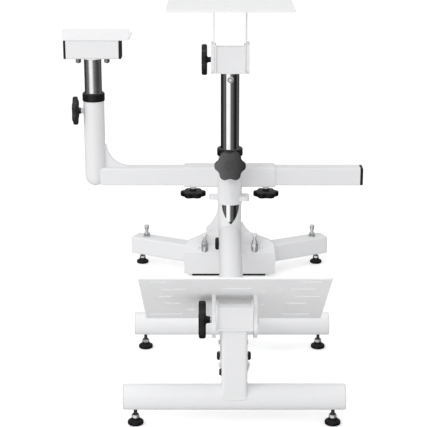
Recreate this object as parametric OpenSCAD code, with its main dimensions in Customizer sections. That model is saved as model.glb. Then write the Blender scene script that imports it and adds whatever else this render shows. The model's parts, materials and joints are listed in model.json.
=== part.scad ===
// Driving simulator wheel stand: floor frame, telescoping wheel column,
// tilting wheel deck, tilting pedal plate and a side arm for a gear shifter.
// Origin: on the floor under the wheel column. +Z up, -Y (front) towards the pedals, -X left.

/* [Floor frame] */
// Diameter of both floor crossbars
bar_diameter = 55; // [50:1:58]
// Length of both floor crossbars, tube only
bar_length = 465; // [441:2:521]
// Height of the crossbar axis above the floor
bar_z = 62; // [61:0.5:63]
// Distance from the column to the front crossbar
front_y = 977; // [960:1:1000]
// Distance from the column to the middle crossbar
mid_y = 555; // [500:1:600]
// Half of the distance between the feet of one crossbar
foot_x = 209.4; // [190:0.2:215]
// Diameter of the long floor tube
main_diameter = 60; // [60:1:60]

/* [Pedal plate] */
// Width of the pedal plate
pedal_width = 386; // [370:1:400]
// Length of the pedal plate along its slope
pedal_length = 323; // [320:1:330]
// Slope of the pedal plate at rest
pedal_angle = 35; // [32:1:38]
// Height of the pedal pivot
pedal_pivot_z = 236; // [236:1:248]
// Thickness of the pedal plate
pedal_thick = 4; // [3:0.5:5]
// Width of the slots in the pedal plate
slot_width = 7; // [5:0.5:8]

/* [Wheel column] */
// Diameter of the fixed outer column tube
outer_diameter = 64; // [64:1:64]
// Diameter of the chromed sliding column
chrome_diameter = 50.8; // [50.8:0.2:50.8]
// Height of the top of the sliding column
chrome_top = 576.5; // [552:0.5:610]
// Height of the wheel pivot above the top of the sliding column
wheel_pivot_up = 33.5; // [30:0.5:34]
// Height of the deck's top above the wheel pivot
deck_up = 145.5; // [120:0.5:170]
// Width of the wheel deck
deck_width = 341; // [310:1:344]
// Depth of the wheel deck
deck_depth = 240; // [200:1:250]

/* [Shifter arm] */
// Width of the square arm tube
arm_width = 50; // [50:1:50]
// Position of the shifter post, left of the column
post_x = 379.5; // [370:0.5:390]
// Diameter of the shifter post
post_diameter = 58; // [58:1:58]
// Diameter of the chromed shifter tube
shift_diameter = 48; // [48:1:48]

/* [Knobs and feet] */
// Tip radius of the large star knobs
knob_r = 42; // [36:0.5:42]
// Tip radius of the two knobs under the sleeve
small_knob_r = 36; // [32:0.5:38]
// Diameter of the levelling feet
foot_diameter = 34; // [30:1:38]

/* [Rear base] */
// Sweep of the rear legs, away from straight sideways
leg_angle = 27; // [24:1:30]
// Half of the distance between the rear feet
leg_foot_x = 251.8; // [245:0.2:260]
// Distance of the rear feet behind the column
leg_foot_y = 87; // [85:1:100]

/* [Hidden] */
$fn = 72;

white = [0.94, 0.94, 0.95];
black = [0.09, 0.09, 0.1];
zinc = [0.66, 0.67, 0.69];
chrome = [0.82, 0.83, 0.85];

// Shared sizes
gap = 0.02;                       // between pieces that touch
wall = 2.5;                       // crossbars, upright and square tubes
round_wall = 3;                   // long floor tube, column and shifter post
chrome_wall = 2;
screw_r = 5;                      // pivot bolts and clamp screws
screw_hole_r = screw_r + 0.05;
bolt_r = 4;
bolt_hole_r = 4.1;
stem_r = 4;                       // levelling foot stems
stem_hole_r = stem_r + 0.05;
boss_r = 7.8;                     // screw bosses on the column and the post
bar_r = bar_diameter / 2;
main_r = main_diameter / 2;
main_z = bar_z + bar_r + main_r;  // axis of the long tube
outer_r = outer_diameter / 2;
chrome_r = chrome_diameter / 2;
post_r = post_diameter / 2;
shift_r = shift_diameter / 2;
wheel_pivot_z = chrome_top + wheel_pivot_up;
arm_y = 63.5;                     // arm axis
arm_z = 269;

// ---------- helpers ----------
module rounded_rect(width, height, corner) {
  square([width - 2 * corner, height], center = true);
  square([width, height - 2 * corner], center = true);
  for (x = [-1, 1], y = [-1, 1])
    translate([x * (width / 2 - corner), y * (height / 2 - corner)]) circle(corner);
}
module slot(length, width) {
  square([length - width, width], center = true);
  for (side = [-1, 1]) translate([side * (length - width) / 2, 0]) circle(width / 2);
}
// Children as drawn and mirrored to -X
module both_sides() {
  for (side = [-1, 1]) mirror([side < 0 ? 1 : 0, 0, 0]) children();
}
// Children moved, not mirrored, to -x and +x
module at_both(x) {
  for (side = [-1, 1]) translate([side * x, 0, 0]) children();
}
module raise(z) { translate([0, 0, z]) children(); }
module rod_x(radius, from, to) {
  translate([from, 0, 0]) rotate([0, 90, 0]) cylinder(r = radius, h = to - from);
}
module rod_y(radius, from, to) {
  translate([0, from, 0]) rotate([-90, 0, 0]) cylinder(r = radius, h = to - from);
}
module tube(outside_r, inside_r, height) {
  difference() {
    cylinder(r = outside_r, h = height);
    raise(-1) cylinder(r = inside_r, h = height + 2);
  }
}
module hex_prism(across_flats, height) {
  cylinder(r = across_flats / 2 / cos(30), h = height, $fn = 6);
}
// Extrudes a shape drawn in Y and Z along X
module extrude_x(from, to) {
  translate([from, 0, 0]) rotate([90, 0, 90]) linear_extrude(to - from) children();
}
// Extrudes a shape drawn in X and Z along Y
module extrude_y(from, to) {
  translate([0, to, 0]) rotate([90, 0, 0]) linear_extrude(to - from) children();
}
module square_tube_x(from, to, width) {
  corner = 5;
  extrude_x(from, to) difference() {
    rounded_rect(width, width, corner);
    rounded_rect(width - 2 * wall, width - 2 * wall, corner - wall);
  }
}
// Cap on the +X end of a square tube: a lid, and a hollow plug inside the tube
module square_cap(width, lid_play, lid, plug, hollow_end, hollow_corner) {
  plug_width = width - 2 * wall - 0.1;
  extrude_x(lid[0] + gap, lid[1]) rounded_rect(width - lid_play, width - lid_play, 5);
  difference() {
    extrude_x(plug[0], plug[1]) rounded_rect(plug_width, plug_width, 2.6);
    extrude_x(plug[0] - 1, hollow_end) rounded_rect(width - 10, width - 10, hollow_corner);
  }
}
// Six-lobed knob: head from z = 0 up, hub on top of it, blind bore from the hub's end
module star_knob(tip_r, thick, hub_r, hub_length, bore_r) {
  ratio = tip_r / 42;             // the notches are given for a 42 mm tip radius
  difference() {
    union() {
      linear_extrude(thick) difference() {
        circle(tip_r);
        for (i = [0:5]) rotate(30 + 60 * i) translate([52.8 * ratio, 0]) circle(18.3 * ratio);
      }
      raise(thick) cylinder(r = hub_r, h = hub_length);
    }
    raise(thick - 8) cylinder(r = bore_r, h = hub_length + 9);
  }
}
// Flanged bush in a tube's mouth: profile in radius and height, seated over the tube's rim
module mouth_bush(profile, tube_r, rod_r, depth) {
  difference() {
    rotate_extrude() polygon(profile);
    raise(-1) cylinder(r = rod_r + 0.05, h = 40);
    raise(-1) tube(tube_r + gap, tube_r - round_wall - gap, depth + 2 * gap + 1);
  }
}
module foot_boss() { tube(8, stem_hole_r, 10); }

// ---------- floor frame ----------
upright_width = 54;                               // across
upright_depth = bar_diameter - 1;                 // along Y
upright_bolt_y = -3;                              // from the upright's axis
main_start = -front_y + upright_depth / 2 + gap;  // front end of the long tube
saddle = [42, 38, 18];                            // block between long tube and middle crossbar
spigot_end = -790;
spigot_bolt_y = [-940, -892, -815];

module crossbar() {
  difference() {
    rod_x(bar_r, -bar_length / 2, bar_length / 2);
    rod_x(bar_r - wall, -bar_length / 2 - 1, bar_length / 2 + 1);
    at_both(foot_x) raise(-bar_r - 2) cylinder(r = stem_hole_r, h = bar_r);
  }
  at_both(foot_x) raise(-bar_r + 1.2) foot_boss();
}
module front_crossbar() { color(white) translate([0, -front_y, bar_z]) crossbar(); }
module mid_crossbar() { color(white) translate([0, -mid_y, bar_z]) crossbar(); }
module crossbar_end_caps() {
  end = bar_length / 2;
  color(white) for (y = [-front_y, -mid_y]) translate([0, y, bar_z]) both_sides() {
    rod_x(bar_r - 0.4, end + gap, end + 2);
    difference() {
      rod_x(bar_r - wall - gap, end - 12, end + 1);
      rod_x(bar_r - 5, end - 13, end - 1);
    }
  }
}
module spigot_bolt_holes() {
  for (y = spigot_bolt_y) translate([0, y, main_z]) rod_x(bolt_hole_r, -60, 60);
}
module main_tube() {
  color(white) difference() {
    union() {
      raise(main_z) rod_y(main_r, main_start, 0);
      translate([-saddle.x / 2, -mid_y - saddle.y / 2, main_z - main_r - saddle.z / 2])
        cube(saddle);
    }
    raise(main_z) rod_y(main_r - round_wall, main_start - 1, 1);
    cylinder(r = outer_r + gap, h = 300);
    translate([0, -mid_y, bar_z]) rod_x(bar_r + gap, -40, 40);
    spigot_bolt_holes();
  }
}
// Stops at the underside of the pedal tilt box
module front_upright() {
  height = pedal_pivot_z - pedal_box_below - bar_z - gap;
  color(white) translate([0, -front_y, 0]) difference() {
    raise(bar_z) linear_extrude(height) difference() {
      rounded_rect(upright_width, upright_depth, 7);
      rounded_rect(upright_width - 2 * wall, upright_depth - 2 * wall, 7 - wall);
    }
    raise(bar_z) rod_x(bar_r + gap, -60, 60);
    translate([0, upright_bolt_y, main_z]) rod_x(bolt_hole_r, -60, 0);
  }
}
// Tube inside the front end of the long tube
module upright_spigot() {
  color(white) difference() {
    raise(main_z) rod_y(main_r - round_wall - 0.1, main_start, spigot_end);
    raise(main_z) rod_y(main_r - 6, main_start - 1, spigot_end + 1);
    spigot_bolt_holes();
  }
}
// The middle bolt has larger heads and washers
module spigot_bolts() {
  color(black) for (y = spigot_bolt_y) translate([0, y, main_z]) {
    large = y == spigot_bolt_y[1];
    rod_x(bolt_r, -main_r - 1, main_r + 1);
    for (side = [-1, 1]) rotate([0, side * 90, 0]) {
      raise(main_r) tube(large ? 9.5 : 6, bolt_r, 1.5);
      if (large) raise(main_r + 1.5) cylinder(r = 9.5, h = 4);
      raise(main_r + 1) cylinder(r = large ? 7.5 : 5, h = large ? 6 : 2);
    }
  }
  // bolt in the upright's left wall
  face = upright_width / 2;
  color(black) translate([0, -front_y + upright_bolt_y, main_z]) {
    rod_x(bolt_r, -face - 3, -face + 12);
    rotate([0, -90, 0]) {
      raise(face + gap) tube(8.5, bolt_r, 1.6);
      raise(face + 1.6) cylinder(r = 6.5, h = 3.4);
      raise(face - wall - gap - 7) hex_prism(14, 7);
    }
  }
}

// ---------- tilt boxes and pivots ----------
pedal_box_x = 38.5;               // half widths of the boxes
wheel_box_x = 42;
pedal_box_below = 13;             // pivot to the box's underside
box_above = 42;                   // pivot to the pedal box's top
box_front = 33;                   // pivot to the box's front edge
bracket_play = 0.5;               // between box and bracket
bracket_thick = 3;
pedal_knob_x = 74.5;              // outer faces of the tilt knobs
wheel_knob_x = 77.5;

// Side wall, drawn in Y and Z about the pivot, with a rounded rear shoulder
module tilt_wall(below, above, back) {
  corner = 7;
  inset = box_front - corner;
  difference() {
    union() {
      translate([-box_front, -below]) square([box_front, below + above - corner]);
      translate([-inset, -below]) square([inset, below + above]);
      translate([-inset, above - corner]) circle(corner);
      translate([-box_front, -below]) square([box_front + back, below]);
      intersection() {
        circle(above + 0.8);
        translate([-1, -1]) square([back + 1, above + 1]);
      }
    }
    circle(screw_hole_r);
  }
}
module tilt_box(half_width, below, above, back) {
  left = -half_width + 2;
  width = 2 * half_width - 4;
  both_sides() extrude_x(half_width - 4, half_width) tilt_wall(below, above, back);
  // web, set back between the side walls
  translate([left, -28, -below + 1]) cube([width, 3, below + above - 6]);
  // top and bottom plates
  translate([left, -28, above - 8]) cube([width, 22, 3]);
  translate([left, -box_front, -below]) cube([width, box_front + back, 3]);
}
// Rounded bracket outline, drawn about the pivot
module ear(width, below, above, corner) {
  translate([0, (above - below) / 2]) rounded_rect(width, above + below, corner);
}
// Bolt along X: head outside the right bracket, thread into the knob on the left
module pivot_bolt(box_x, knob_x) {
  face = box_x + bracket_play + bracket_thick;
  rod_x(screw_r, -(knob_x - 7.7), face + 2);
  rotate([0, 90, 0]) raise(face + gap) {
    tube(9.5, screw_r, 1.5);
    raise(1.5) hex_prism(15, 6);
  }
}
module pedal_tilt_box() {
  color(white) translate([0, -front_y, pedal_pivot_z])
    tilt_box(pedal_box_x, pedal_box_below, box_above, 27);
}
module wheel_tilt_box() {
  color(white) raise(wheel_pivot_z) tilt_box(wheel_box_x, wheel_pivot_up, box_above + 2, 28);
}

// ---------- fixed column ----------
column_top = 362;
bush_z = 344;                     // underside of the column's top ring
window_top = 207;                 // top of the window, underside of the arm carrier
knob_z = 329;                     // axis of the main knob

// Opening between two arcs, narrowing downwards
module window() {
  arc_x = 53.5;
  intersection() {
    translate([-arc_x, window_top]) circle(77.6);
    translate([arc_x, window_top]) circle(77.6);
    translate([-50, window_top - 90]) square([100, 90]);
  }
}
module column_tube() {
  foot_z = shell_z + plate_thick;
  color(white) difference() {
    union() {
      difference() {
        raise(foot_z + gap) cylinder(r = outer_r, h = column_top - foot_z);
        cylinder(r = outer_r - round_wall, h = column_top + 5);
        rotate(6) extrude_y(-60, 0) window();
      }
      difference() {
        raise(knob_z) rod_y(boss_r, -44, -20);
        cylinder(r = outer_r - 2, h = 400);
      }
    }
    raise(knob_z) rod_y(screw_hole_r, -60, -10);
  }
}
// radius, height above bush_z
column_bush_profile = [[20, 0], [35, 0], [35.5, 1], [35.5, 18], [33.5, 20.5], [20, 20.5]];
module column_bush() {
  color(black) raise(bush_z)
    mouth_bush(column_bush_profile, outer_r, chrome_r, column_top - bush_z);
}

// ---------- rear base ----------
shell_front = 37;                 // front face, ahead of the column axis
shell_back = 45;                  // rear face, behind the column axis
shell_z = 8;                      // underside
plate_thick = 3;
leg_width = 50;
leg_z = 32;                       // underside of the legs
leg_in = 198;                     // leg tube, inwards and outwards from its foot
leg_out = 20;
leg_bolt_x = -15.2;               // along the leg from its foot
leg_bolt_r = 5;
stud_x = 70.3;
stud_y = -26;
stud_r = 5;
// Y, height above the shell's underside
housing_outside = [[-shell_front, 0], [-shell_front, 61], [-12, 77],
  [shell_back, 77], [shell_back, 0]];
housing_inside = [[-shell_front + 3, -1], [-shell_front + 3, 59.2], [-11, 74],
  [shell_back - 3, 74], [shell_back - 3, -1]];
flare_side = [[-shell_front, 61], [-12, 77], [-2, 112], [-2, 199],
  [5, 199], [5, 77], [-10, 75.5], [-33, 61]];
// X, height above the shell's underside
flare_front = [[-126, 44], [-126, 79], [-112, 89.5], [-64, 111], [-31, 134], [-20, 189],
  [20, 189], [31, 132], [58, 110], [112, 89.5], [126, 79], [126, 44]];

// Plan of the housing, tapering to the rear
module base_plan(inset = 0) {
  front_x = 128 - inset * 1.2;
  back_x = 88 - inset * 1.2;
  front = -shell_front + inset;
  back = shell_back - inset;
  polygon([[-front_x, front], [front_x, front], [back_x, back], [-back_x, back]]);
}
module shell_prism(profile) { raise(shell_z) extrude_x(-130, 130) polygon(profile); }
// Front outline of the web that flares up the column, with an arc cut on each side
module flare() {
  left_r = 88;
  right_r = 60;
  difference() {
    union() {
      polygon(flare_front);
      translate([-66, 104]) square([40, 87]);
      translate([26, 104]) square([28, 36]);
    }
    translate([-33 - left_r, 105 + left_r]) circle(left_r);
    translate([-140, 112]) square([74, 90]);
    translate([32.5 + right_r, 105 + right_r * 0.93]) circle(right_r);
    translate([56, 113]) square([84, 90]);
  }
}
// Frame of one leg: origin on its axis over the foot, +X outwards; side is -1 left, 1 right
module at_leg(side) {
  mirror([side < 0 ? 1 : 0, 0, 0])
    translate([leg_foot_x, leg_foot_y, leg_z + leg_width / 2]) rotate([0, 0, leg_angle])
      children();
}
module at_legs() { for (side = [-1, 1]) at_leg(side) children(); }
module base_shell() {
  color(white) difference() {
    union() {
      // hollow housing, open below
      difference() {
        intersection() {
          raise(shell_z) linear_extrude(90) base_plan();
          shell_prism(housing_outside);
        }
        intersection() {
          raise(shell_z - 1) linear_extrude(90) base_plan(3);
          shell_prism(housing_inside);
        }
      }
      // flared web up the column
      intersection() {
        extrude_y(-shell_front, 6) translate([0, shell_z]) flare();
        shell_prism(flare_side);
      }
    }
    cylinder(r = outer_r + gap, h = 300);
    at_legs() translate([-leg_in - 0.1, -leg_width / 2 - 0.1, -leg_width / 2 - 0.1])
      cube([leg_in + 25.1, leg_width + 0.2, leg_width + 0.15]);
    at_both(stud_x) translate([0, stud_y, 60]) cylinder(r = stud_r + 0.1, h = 60);
  }
}
module base_plate() { color(white) raise(shell_z) linear_extrude(plate_thick) base_plan(3.1); }
module base_pad() { color(black) translate([-106, -31, 0]) cube([207, 68, shell_z - gap]); }
module leg() {
  difference() {
    square_tube_x(-leg_in, leg_out, leg_width);
    raise(-30) cylinder(r = stem_hole_r, h = 20);
    translate([leg_bolt_x, 0, 0]) cylinder(r = leg_bolt_r + 0.1, h = 60);
  }
  raise(-leg_width / 2 + 2) foot_boss();
}
module left_leg() { color(white) at_leg(-1) leg(); }
module right_leg() { color(white) at_leg(1) leg(); }
module leg_end_caps() {
  color(white) at_legs() square_cap(leg_width, lid_play = 0.6, lid = [leg_out, leg_out + 2],
    plug = [10, 21], hollow_end = 19, hollow_corner = 1.5);
}
module leg_end_bolts() {
  top = leg_width / 2;
  color(zinc) at_legs() translate([leg_bolt_x, 0, 0]) {
    raise(8) cylinder(r = leg_bolt_r, h = top + 26);
    raise(top - wall - gap - 8) hex_prism(16, 8);
    raise(top + gap) tube(10, leg_bolt_r, 2);
    raise(top + 2) hex_prism(16, 8);
    raise(top + 22) cylinder(r = 6.5, h = 12);
  }
}
module base_studs() {
  color(zinc) at_both(stud_x) translate([0, stud_y, shell_z]) {
    raise(plate_thick + gap) cylinder(r = stud_r, h = 108);
    raise(plate_thick + gap) hex_prism(15, 8);
    // wedge under the washer, seated on the sloped ledge
    difference() {
      raise(58) cylinder(r = 9, h = 17.5);
      extrude_x(-12, 12) polygon([[-12, 50], [-12, 60.4], [12, 75.76], [12, 50]]);
      raise(50) cylinder(r = stud_r + 0.1, h = 18);
    }
    raise(75.5) cylinder(r = 10, h = 2);
    raise(77.5) hex_prism(17, 10);
    raise(87.5) cylinder(r = 8, h = 1.5);
    raise(89) hex_prism(13, 6);
    raise(106) cylinder(r = 7.5, h = 10);
  }
}
// Round cap on the left of the long tube, in front of the column
module tube_clamp_cap() {
  color(black) difference() {
    translate([0, -54.2, main_z - 16.5]) rotate([0, -90, 0]) {
      raise(30.5) cylinder(r = 17, h = 7);
      raise(37.5) cylinder(r1 = 17, r2 = 13.5, h = 3.5);
      raise(20) cylinder(r = 8, h = 12);
    }
    raise(main_z) rod_y(main_r + gap, -90, 0);
  }
}

// ---------- arm carrier on the column ----------
sleeve_width = 58;                // outside
sleeve_length = 256;
sleeve_bore = 53;
sleeve_knob_x = 103.5;
sleeve_bottom = arm_z - sleeve_width / 2;
lug_x = 43;                       // right lug's hole

module at_sleeve_knobs(z) {
  at_both(sleeve_knob_x) translate([0, arm_y, sleeve_bottom + z]) children();
}
module clamp_lugs() {
  translate([-46, -10]) square([46, 24]);
  translate([-46, 2]) circle(12);
  translate([0, -22]) square([lug_x, 38]);
  translate([lug_x, -13]) square([11, 20]);
  for (y = [-13, 5]) translate([lug_x, y]) circle(11);
}
module arm_carrier() {
  half = sleeve_length / 2;
  color(white) difference() {
    union() {
      raise(window_top) cylinder(r = 34, h = 91);
      translate([0, arm_y, arm_z]) extrude_x(-half, half)
        rounded_rect(sleeve_width, sleeve_width, 6);
      // bridge from collar to sleeve
      translate([-26, 16, sleeve_bottom + 3]) cube([52, 20, sleeve_width - 6]);
      raise(window_top + 9) linear_extrude(12.5) clamp_lugs();
      at_sleeve_knobs(-8) cylinder(r = 9, h = 9);
    }
    raise(window_top - 1) cylinder(r = outer_r + gap, h = 110);
    translate([0, arm_y, arm_z]) extrude_x(-half - 1, half + 1)
      rounded_rect(sleeve_bore, sleeve_bore, 3);
    at_sleeve_knobs(-9) cylinder(r = screw_hole_r, h = 20);
    translate([lug_x, -12, window_top]) cylinder(r = 4, h = 40);
  }
}
module sleeve_liners() {
  color(black) both_sides() translate([0, arm_y, arm_z]) extrude_x(110, 127.5) difference() {
    rounded_rect(sleeve_bore - 0.1, sleeve_bore - 0.1, 2.9);
    rounded_rect(arm_width + 0.12, arm_width + 0.12, 5);
  }
}

// ---------- pedal plate ----------
pedal_under = 45;                 // pivot to the plate's underside
pedal_front = -150.5;             // front edge, along the slope from the pivot
// centre across, distance up the slope from the front edge, length
pedal_slots = [
  [-154, 21.5, 36], [-126, 75.6, 56], [-146, 132.4, 33],
  [-132, 189.7, 36], [-94, 243, 22], [-148, 284, 74],
  [153, 21.5, 40], [137, 75.6, 54], [151.5, 132.4, 54],
  [131, 189.7, 42], [136, 284, 62], [0, 70, 67]];

// Tilted frame of the pedal plate, about its pivot
module at_pedal() {
  translate([0, -front_y, pedal_pivot_z]) rotate([-pedal_angle, 0, 0]) children();
}
module pedal_plate() {
  color(white) at_pedal() raise(pedal_under) difference() {
    translate([0, pedal_front + pedal_length / 2, 0]) linear_extrude(pedal_thick)
      rounded_rect(pedal_width, pedal_length, 4);
    for (spot = pedal_slots) translate([spot[0], pedal_front + spot[1], -1])
      linear_extrude(pedal_thick + 2) slot(spot[2], slot_width);
    for (y = [-53, 50]) at_both(60) translate([0, y, -1]) cylinder(r = 3.1, h = 10);
    translate([93, -60, -1]) cylinder(r = 3, h = 10);
  }
}
// Ear with a square-cornered top
module pedal_ear(width, below, corner, top) {
  ear(width, below, pedal_under - 6, corner);
  translate([-width / 2, 0]) square([width, top]);
}
module pedal_brackets() {
  inner = pedal_box_x + bracket_play;
  top = pedal_under - gap;
  color(white) at_pedal() both_sides() difference() {
    union() {
      extrude_x(inner, inner + bracket_thick) pedal_ear(60, 31, 13, top);
      // outward rim
      extrude_x(inner, inner + 8) difference() {
        pedal_ear(66, 34, 14, top);
        pedal_ear(58, 30, 11, pedal_under);
      }
    }
    rod_x(screw_r + gap, 0, 80);
  }
}
module pedal_pivot_bolt() { color(zinc) at_pedal() pivot_bolt(pedal_box_x, pedal_knob_x); }
module pedal_tilt_knob() {
  color(black) at_pedal() translate([-pedal_knob_x, 0, 0]) rotate([0, 90, 0])
    rotate(pedal_angle) star_knob(knob_r - 1, 15, 7.5, 13, screw_hole_r);
}

// ---------- sliding wheel column ----------
chrome_bottom = 137;
neck_z = chrome_top - 17.5;       // axis of the neck bolt

module chrome_column() {
  color(chrome) difference() {
    raise(chrome_bottom)
      tube(chrome_r, chrome_r - chrome_wall, chrome_top - chrome_bottom - gap);
    raise(neck_z) rod_y(bolt_hole_r, -40, 40);
  }
}
module column_slide_bush() {
  color(black) raise(chrome_bottom + 1)
    tube(outer_r - round_wall - 0.05, chrome_r + gap, 30);
}
module neck_bolt() {
  head = chrome_r + 2;
  color(zinc) raise(neck_z) {
    rod_y(bolt_r, -chrome_r - 4, chrome_r + 4);
    for (flip = [0, 1]) mirror([0, flip, 0]) {
      // washer hollowed to fit the column
      difference() {
        rod_y(8.8, -head, -chrome_r + 4);
        raise(-30) cylinder(r = chrome_r + gap, h = 60);
        rod_y(3.9, -60, 0);
      }
      translate([0, -head, 0]) rotate([90, 0, 0]) hex_prism(12.5, 5);
    }
  }
}

// ---------- wheel deck ----------
deck_front = -89;
deck_thick = 4;
deck_top = wheel_pivot_z + deck_up;

module wheel_deck() {
  color(white) difference() {
    union() {
      translate([0, deck_front + deck_depth / 2, deck_top - deck_thick])
        linear_extrude(deck_thick) rounded_rect(deck_width, deck_depth, 4);
      // lips under the front and rear edges
      for (y = [deck_front, deck_front + deck_depth - 3])
        translate([-deck_width / 2 + 4, y, deck_top - 6]) cube([deck_width - 8, 3, 4]);
    }
    at_both(90) translate([0, 118, deck_top - 10]) linear_extrude(20) slot(44, 7);
    translate([-12, -5, deck_top - 10]) cylinder(r = 4.5, h = 20);
  }
}
module wheel_brackets() {
  inner = wheel_box_x + bracket_play;
  height = deck_up - deck_thick - gap;
  color(white) raise(wheel_pivot_z) both_sides() {
    difference() {
      union() {
        extrude_x(inner, inner + bracket_thick) {
          ear(62, 32, 43, 13);
          translate([-27, 0]) square([54, height]);
        }
        // outward rim
        extrude_x(inner + 1, inner + 9.5) difference() {
          ear(68, 35, 46, 15);
          ear(60, 31, 42, 12);
        }
      }
      rod_x(screw_r + gap, 0, 80);
    }
    // flange under the deck
    translate([inner, -27, height - 3]) cube([30, 54, 3]);
  }
}
module wheel_pivot_bolt() { color(zinc) raise(wheel_pivot_z) pivot_bolt(wheel_box_x, wheel_knob_x); }
module wheel_tilt_knob() {
  color(black) translate([-wheel_knob_x, 0, wheel_pivot_z]) rotate([0, 90, 0])
    star_knob(knob_r, 15, 7.5, 15, screw_hole_r);
}

// ---------- shifter arm ----------
arm_end = 368;                    // right end of the arm tube
post_top = 505;
post_knob_z = 455;
shift_bottom = 350;               // lower end of the chromed tube
gusset_r = 64;
gusset_wall = 4;                  // material left beside the gusset's arc
box_z = 604;                      // underside of the shifter box
box_width = 52;                   // height and depth of the shifter box
box_half = 72.5;                  // half length of the shifter box
box_shift = 1.5;                  // shifter box centre, right of the post
shifter_bolt_x = 39.3;
// shifter plate, from the post axis
plate_left = -78;
plate_right = 103.5;
plate_front = -28.5;
plate_depth = 140;

module at_post(z) { translate([-post_x, arm_y, z]) children(); }
module arm_tube() {
  color(white) difference() {
    translate([0, arm_y, arm_z]) square_tube_x(-post_x, arm_end, arm_width);
    at_post(200) cylinder(r = post_r + gap, h = 200);
    at_post(arm_z) sphere(r = post_r + gap);
  }
}
module arm_end_cap() {
  color(black) translate([0, arm_y, arm_z])
    square_cap(arm_width, lid_play = 0.4, lid = [arm_end, arm_end + 8],
      plug = [arm_end - 12, arm_end + 1], hollow_end = arm_end - 2, hollow_corner = 2);
}
module arm_post() {
  gusset_z = arm_width / 2;
  arc_offset = gusset_wall + gusset_r;
  color(white) at_post(arm_z) difference() {
    union() {
      cylinder(r = post_r, h = post_top - arm_z);
      sphere(r = post_r);
      // curved gusset on top of the arm
      extrude_y(-4, 4) difference() {
        translate([post_r - 4, gusset_z + gap]) square([71, 64]);
        translate([post_r + arc_offset, gusset_z + arc_offset]) circle(gusset_r);
      }
      raise(post_knob_z - arm_z) rod_x(boss_r, -post_r - 6, -post_r + 6);
    }
    cylinder(r = post_r - round_wall, h = 300);
    raise(post_knob_z - arm_z) rod_x(screw_hole_r, -post_r - 20, 0);
  }
}
// radius, height above the bush's underside
post_bush_profile = [[20, 0], [29.8, 0], [31, 1.5], [31, 20.5], [28.5, 23.5], [20, 23.5]];
post_bush_depth = 21;
module post_bush() {
  color(black) at_post(post_top - post_bush_depth)
    mouth_bush(post_bush_profile, post_r, shift_r, post_bush_depth);
}
module post_slide_bush() {
  color(black) at_post(shift_bottom + 1)
    tube(post_r - round_wall - 0.05, shift_r + gap, 16);
}
module chrome_post() {
  color(chrome) at_post(shift_bottom)
    tube(shift_r, shift_r - chrome_wall, box_z - shift_bottom - gap);
}
module shifter_box() {
  color(white) at_post(box_z) difference() {
    translate([box_shift, 0, box_width / 2]) square_tube_x(-box_half, box_half, box_width);
    at_both(shifter_bolt_x) raise(-5) cylinder(r = bolt_hole_r, h = 70);
  }
}
module box_end_caps() {
  color(black) at_post(box_z) translate([box_shift, 0, box_width / 2]) both_sides()
    square_cap(box_width, lid_play = 0.2, lid = [box_half, 79],
      plug = [62, 74], hollow_end = 72, hollow_corner = 2);
}
// Flat plate with an upright front lip that overhangs on the right
module shifter_plate() {
  width = plate_right - plate_left;
  flat_depth = plate_depth - 16;
  color(white) at_post(box_z + box_width + gap) difference() {
    union() {
      translate([plate_left, plate_front, 0]) cube([width - 14, 20, 3]);
      translate([plate_left, plate_front + 16, 0]) linear_extrude(3)
        translate([width / 2, flat_depth / 2]) rounded_rect(width, flat_depth, 8);
      extrude_y(plate_front, plate_front + 3) {
        translate([plate_left, 0]) square([width - 14, 32]);
        translate([plate_right - 20, 14]) square([20, 18]);
        translate([plate_right - 14, 14]) circle(14);
      }
    }
    at_both(shifter_bolt_x) raise(-1) cylinder(r = bolt_hole_r, h = 6);
    for (y = [41.5, 86.5]) translate([12.5, y, -1]) at_both(55) linear_extrude(6) slot(26, 7);
  }
}
module shifter_bolts() {
  color(black) at_post(box_z) at_both(shifter_bolt_x) {
    raise(-15) cylinder(r = bolt_r, h = 15 + box_width + 4);
    raise(box_width + 3 + 2 * gap) cylinder(r = 8, h = 3.5);
    raise(-1.5) cylinder(r = 8.2, h = 1.5 - gap);
    raise(-13) hex_prism(14, 11.5);
  }
}

// ---------- clamp knobs ----------
clamp_bore_r = screw_r + gap;
tip_gap = 0.1;                    // screw tip to the chromed tube

module main_knob() {
  color(black) translate([0, -74, knob_z]) rotate([-90, 0, 0])
    star_knob(knob_r + 1, 17, 9, 12, clamp_bore_r);
}
module main_knob_screw() { color(zinc) raise(knob_z) rod_y(screw_r, -64.5, -chrome_r - tip_gap); }
module sleeve_knob(side) {
  color(black) translate([side * sleeve_knob_x, arm_y, sleeve_bottom - 32.5])
    star_knob(small_knob_r, 15, 9, 8, clamp_bore_r);
}
module sleeve_screw(side) {
  color(zinc) translate([side * sleeve_knob_x, arm_y, sleeve_bottom - 25])
    cylinder(r = screw_r, h = 28.9);
}
module sleeve_knob_left() { sleeve_knob(-1); }
module sleeve_knob_right() { sleeve_knob(1); }
module sleeve_screw_left() { sleeve_screw(-1); }
module sleeve_screw_right() { sleeve_screw(1); }
module post_knob() {
  color(black) at_post(post_knob_z) translate([-post_r - 29.5, 0, 0]) rotate([0, 90, 0])
    star_knob(knob_r - 2, 14, 9, 9, clamp_bore_r);
}
module post_knob_screw() {
  color(zinc) at_post(post_knob_z) rod_x(screw_r, -post_r - 23, -shift_r - tip_gap);
}

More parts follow.
